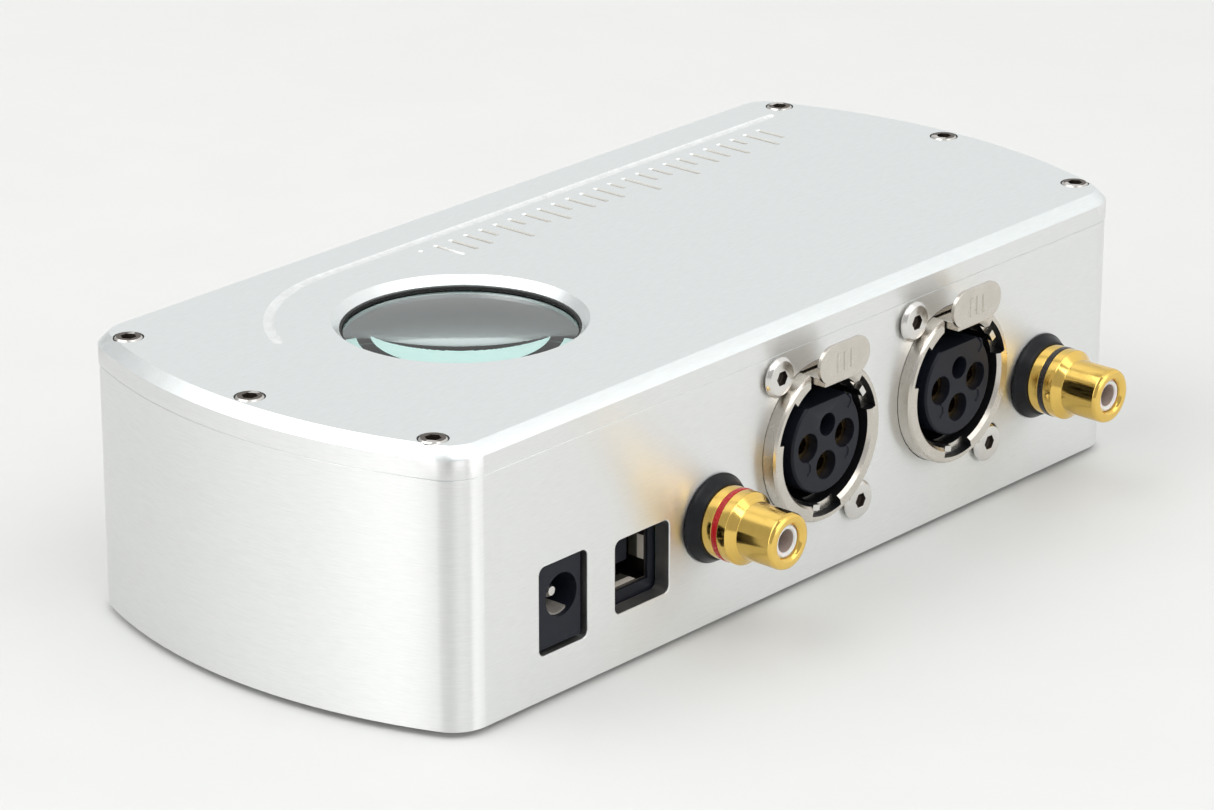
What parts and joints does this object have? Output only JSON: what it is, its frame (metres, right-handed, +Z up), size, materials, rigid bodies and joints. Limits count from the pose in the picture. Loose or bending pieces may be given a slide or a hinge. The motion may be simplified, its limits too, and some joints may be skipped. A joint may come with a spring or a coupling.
{
  "type": "desktop dac",
  "caption": "Small aluminium desktop digital-to-analogue converter with bowed ends, a lens in its cover, and balanced, phono, data and power sockets in its rear wall.",
  "frame": {"origin": "under the centre of the whole object, on the surface that the feet stand on", "axes": "+X along the casing's length, +Y out of the rear connector panel, +Z up"},
  "size_m": [0.1602, 0.0848, 0.0419],
  "materials": {
    "casing_aluminium": "satin clear-anodised, finely brushed along the length",
    "cover_aluminium": "satin clear-anodised, fine grain",
    "inner_aluminium": "plain milled",
    "steel_screws": "bright machine-screw steel",
    "lens_glass": "clear, with a turquoise-green edge tint",
    "black_rubber": "matt black",
    "spring_steel": "bright drawn wire",
    "warm_nickel": "warm satin nickel plating",
    "bright_nickel": "bright nickel plating",
    "black_plastic": "moulded blue-black",
    "bush_plastic": "glossy black",
    "gold_contacts": "gold-plated",
    "gold_plating": "polished gold plating",
    "red_ring": "glossy red",
    "black_ring": "glossy black",
    "white_plastic": "white fluoropolymer",
    "circuit_board": "dark green solder mask",
    "chip_plastic": "moulded black",
    "capacitor_cans": "plain drawn cans"
  },
  "bodies": {
    "chassis": {"board_screws": "steel_screws", "capacitors": "capacitor_cans", "casing": "casing_aluminium", "cover_screws": "steel_screws", "crystal_oscillator": "bright_nickel", "dac_chip": "chip_plastic", "dc_jack_housing": "black_plastic", "dc_jack_leaf": "bright_nickel", "dc_jack_pin": "bright_nickel", "foot_front_left": "black_rubber", "foot_front_right": "black_rubber", "foot_rear_left": "black_rubber", "foot_rear_right": "black_rubber", "lens": "lens_glass", "lens_retaining_ring": "inner_aluminium", "lens_seal": "black_rubber", "main_board": "circuit_board", "power_inductor": "chip_plastic", "processor_chip": "chip_plastic", "rca_left_body": "gold_plating", "rca_left_bush": "bush_plastic", "rca_left_colour_ring": "black_ring", "rca_left_contact": "gold_contacts", "rca_left_ground_tag": "gold_plating", "rca_left_insulator": "white_plastic", "rca_left_nut": "gold_plating", "rca_left_washer": "bush_plastic", "rca_right_body": "gold_plating", "rca_right_bush": "bush_plastic", "rca_right_colour_ring": "red_ring", "rca_right_contact": "gold_contacts", "rca_right_ground_tag": "gold_plating", "rca_right_insulator": "white_plastic", "rca_right_nut": "gold_plating", "rca_right_washer": "bush_plastic", "regulator_chip": "chip_plastic", "ring_screws": "steel_screws", "top_cover": "cover_aluminium", "usb_contacts": "gold_contacts", "usb_controller_chip": "chip_plastic", "usb_housing": "black_plastic", "usb_liner": "bright_nickel", "usb_tongue": "black_plastic", "xlr_left_contacts": "gold_contacts", "xlr_left_ground_contact": "bright_nickel", "xlr_left_insert": "black_plastic", "xlr_left_latch_spring": "spring_steel", "xlr_left_screws": "warm_nickel", "xlr_left_shell": "warm_nickel", "xlr_right_contacts": "gold_contacts", "xlr_right_ground_contact": "bright_nickel", "xlr_right_insert": "black_plastic", "xlr_right_latch_spring": "spring_steel", "xlr_right_screws": "warm_nickel", "xlr_right_shell": "warm_nickel"},
    "xlr_right_push_latch": {"xlr_right_latch": "warm_nickel"},
    "xlr_left_push_latch": {"xlr_left_latch": "warm_nickel"}
  },
  "joints": [
    {"name": "xlr_right_latch_push", "type": "slide", "parent": "chassis", "child": "xlr_right_push_latch", "axis": [0, -1, 0], "range_m": [0, 0.0015], "stiffness_N_per_m": 400, "springref_m": -0.001, "deforming": ["xlr_right_latch_spring"]},
    {"name": "xlr_left_latch_push", "type": "slide", "parent": "chassis", "child": "xlr_left_push_latch", "axis": [0, -1, 0], "range_m": [0, 0.0015], "stiffness_N_per_m": 400, "springref_m": -0.001, "deforming": ["xlr_left_latch_spring"]}
  ]
}
